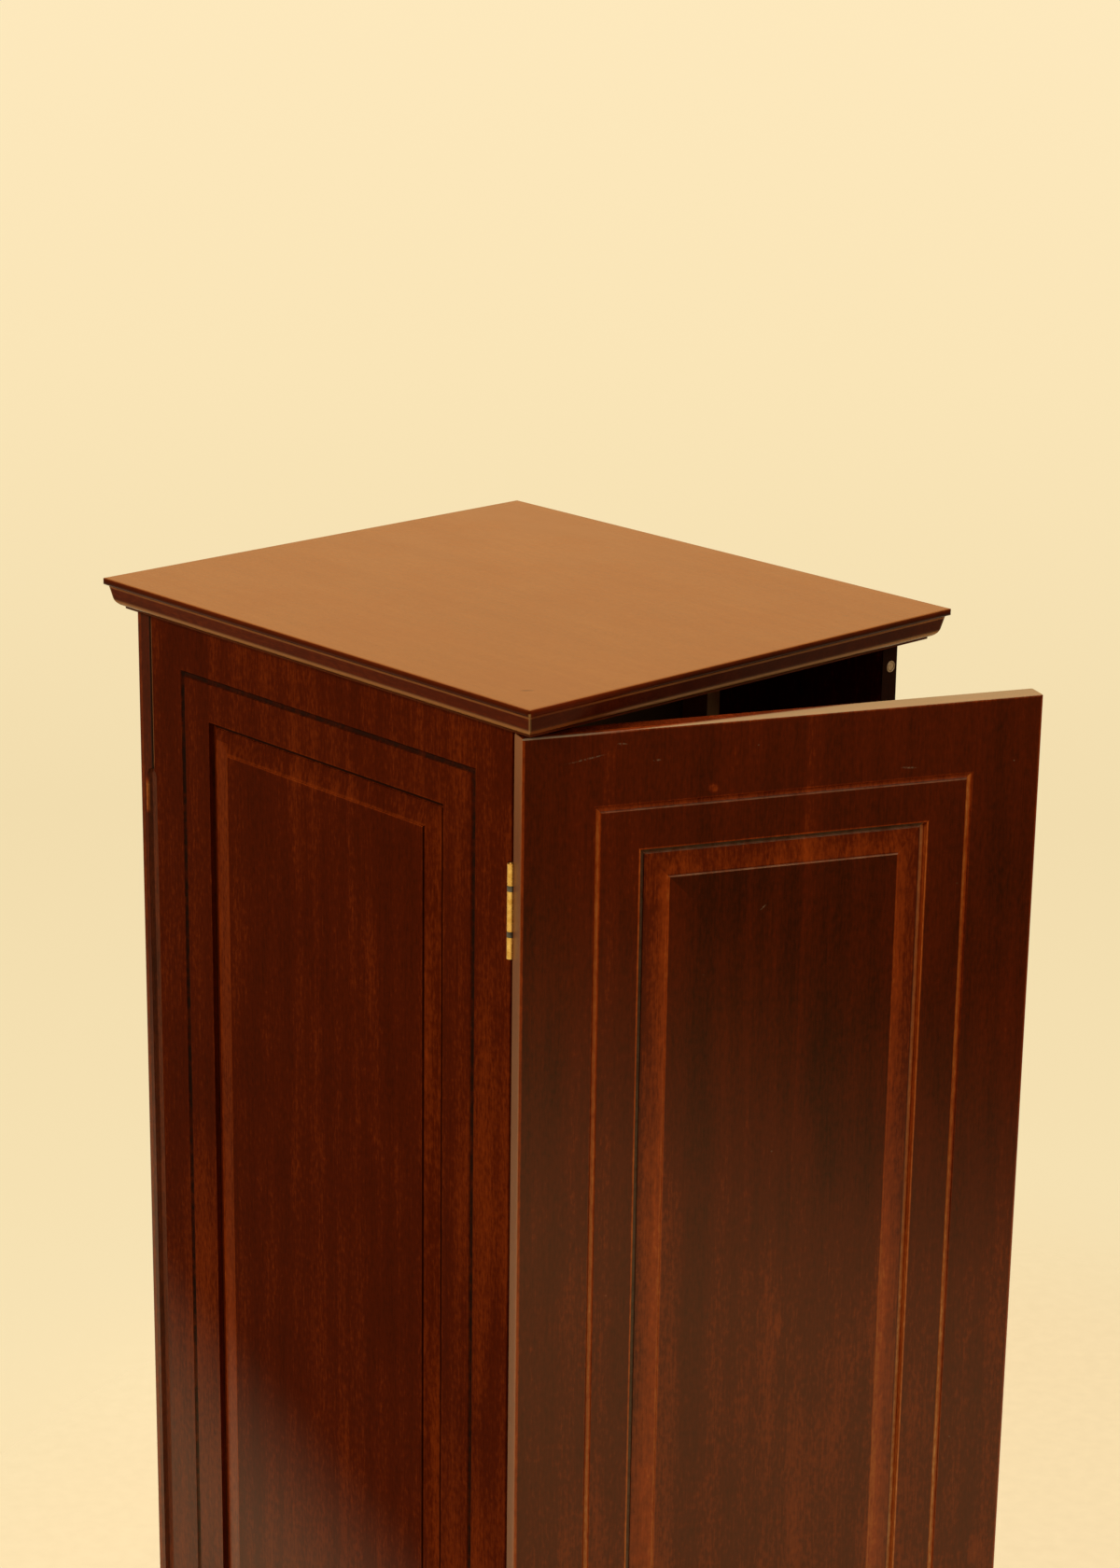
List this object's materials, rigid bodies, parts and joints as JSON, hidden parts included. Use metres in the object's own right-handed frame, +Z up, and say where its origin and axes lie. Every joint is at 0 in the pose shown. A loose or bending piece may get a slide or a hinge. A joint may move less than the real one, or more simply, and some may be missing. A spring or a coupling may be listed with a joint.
{
  "type": "storage plinth",
  "caption": "Tall square display pedestal in dark stained wood with a moulded top and base, routed raised-field panels and a hinged storage door at the front and at the rear.",
  "frame": {"origin": "on the floor under the middle of the base board", "axes": "+Z up; +Y from the front door to the rear door; +X to the right as seen from the front"},
  "size_m": [0.47, 0.6806, 1.1],
  "materials": {
    "stained_wood": "satin red-brown stain over close vertical grain",
    "inner_wood": "flat dark stain",
    "dowel_wood": "bare",
    "brass": "lacquered, dulled",
    "steel": "dull",
    "magnet_cap": "dull"
  },
  "bodies": {
    "carcass": {"base_board": "stained_wood", "base_dowels": "dowel_wood", "batten_screws": "steel", "centre_divider": "inner_wood", "front_frame_hinge_screws": "brass", "front_left_batten": "inner_wood", "front_lower_frame_leaf": "brass", "front_lower_hinge_pin": "brass", "front_lower_hinge_washers": "steel", "front_magnets": "magnet_cap", "front_right_batten": "inner_wood", "front_shelf": "inner_wood", "front_shelf_pins": "steel", "front_upper_frame_leaf": "brass", "front_upper_hinge_pin": "brass", "front_upper_hinge_washers": "steel", "left_side": "stained_wood", "rear_frame_hinge_screws": "brass", "rear_left_batten": "inner_wood", "rear_lower_frame_leaf": "brass", "rear_lower_hinge_pin": "brass", "rear_lower_hinge_washers": "steel", "rear_magnets": "magnet_cap", "rear_right_batten": "inner_wood", "rear_shelf": "inner_wood", "rear_shelf_pins": "steel", "rear_upper_frame_leaf": "brass", "rear_upper_hinge_pin": "brass", "rear_upper_hinge_washers": "steel", "right_side": "stained_wood", "top_board": "stained_wood", "top_dowels": "dowel_wood"},
    "front_door": {"front_door": "stained_wood", "front_door_hinge_screws": "brass", "front_lower_door_leaf": "brass", "front_strikes": "steel", "front_upper_door_leaf": "brass"},
    "rear_door": {"rear_door": "stained_wood", "rear_door_hinge_screws": "brass", "rear_lower_door_leaf": "brass", "rear_strikes": "steel", "rear_upper_door_leaf": "brass"}
  },
  "joints": [
    {"name": "front_door_swing", "type": "hinge", "parent": "carcass", "child": "front_door", "pos_m": [-0.215, -0.22475, 0.55], "axis": [0, 0, -1], "range_deg": [-23.8, 151.2]},
    {"name": "rear_door_swing", "type": "hinge", "parent": "carcass", "child": "rear_door", "pos_m": [0.215, 0.22475, 0.55], "axis": [0, 0, -1], "range_deg": [0, 175]}
  ]
}
